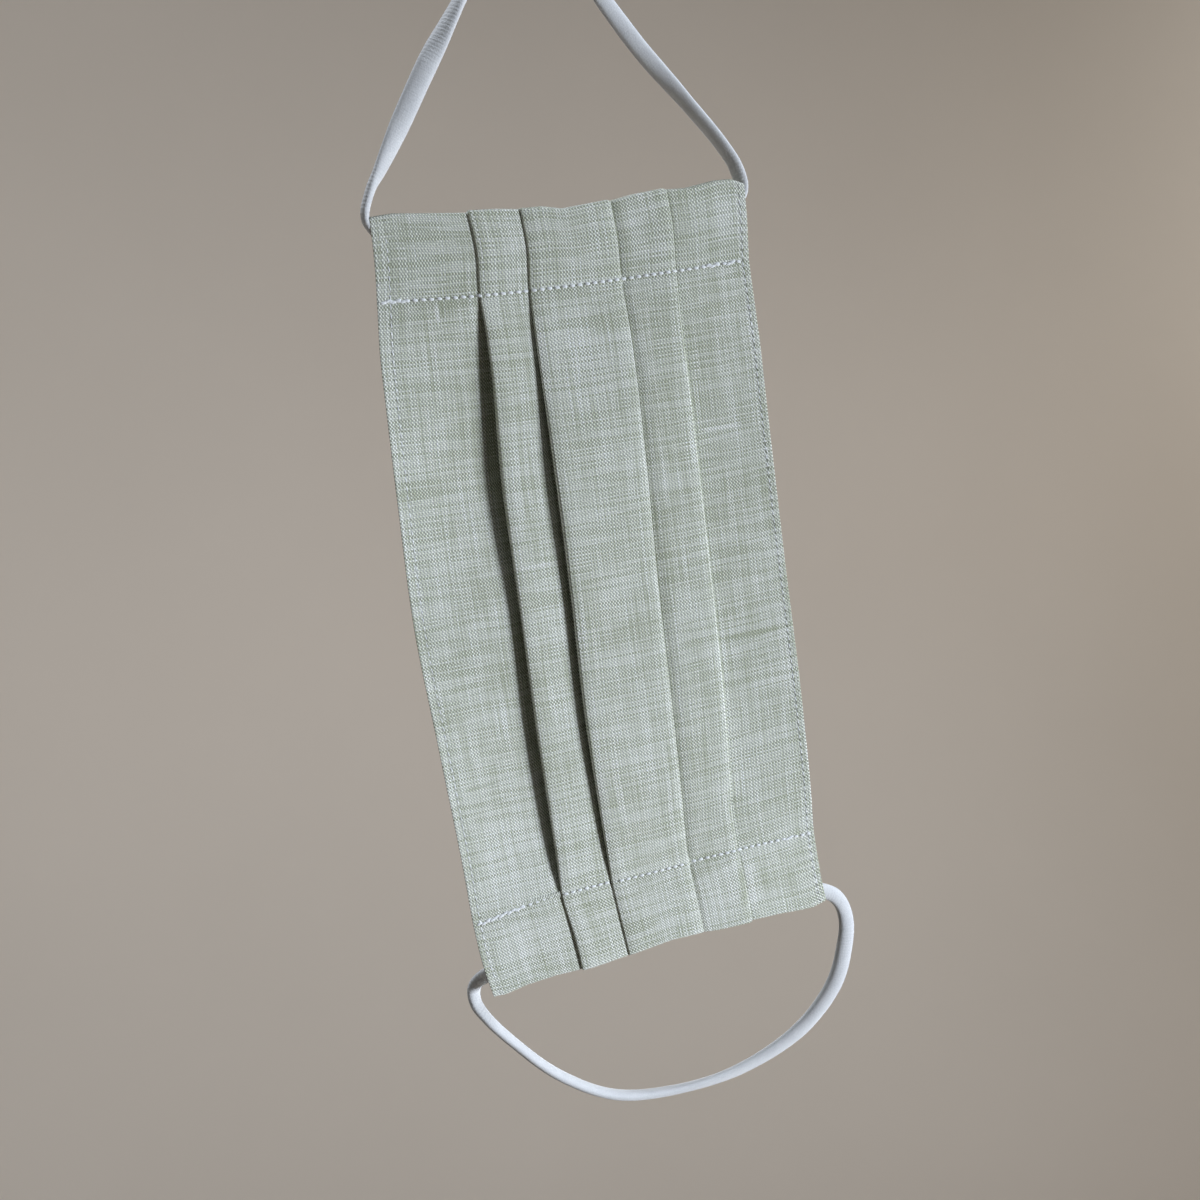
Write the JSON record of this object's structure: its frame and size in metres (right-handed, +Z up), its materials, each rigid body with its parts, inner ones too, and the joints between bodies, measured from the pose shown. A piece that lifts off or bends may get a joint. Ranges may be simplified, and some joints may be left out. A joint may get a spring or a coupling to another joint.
{
  "type": "pleated linen face mask",
  "caption": "Pleated linen face mask hanging by its elastic ear loop, with long knife pleats and folded end casings that the soft white ear loops run through.",
  "frame": {"origin": "hang point: the inside top of the upper ear loop, where a hook carries the mask", "axes": "+Z up, against the hang; the panel's long side hangs down -Z, its outer face looks towards -Y and +X is to the right of that face"},
  "size_m": [0.1109, 0.0191, 0.3045],
  "materials": {
    "linen": "pale grey-green plain-weave linen with slubs, matte",
    "elastic": "soft white knitted elastic, matte"
  },
  "bodies": {
    "root": {"pleated_panel": "linen", "upper_ear_loop": "elastic", "lower_ear_loop": "elastic"}
  },
  "joints": []
}
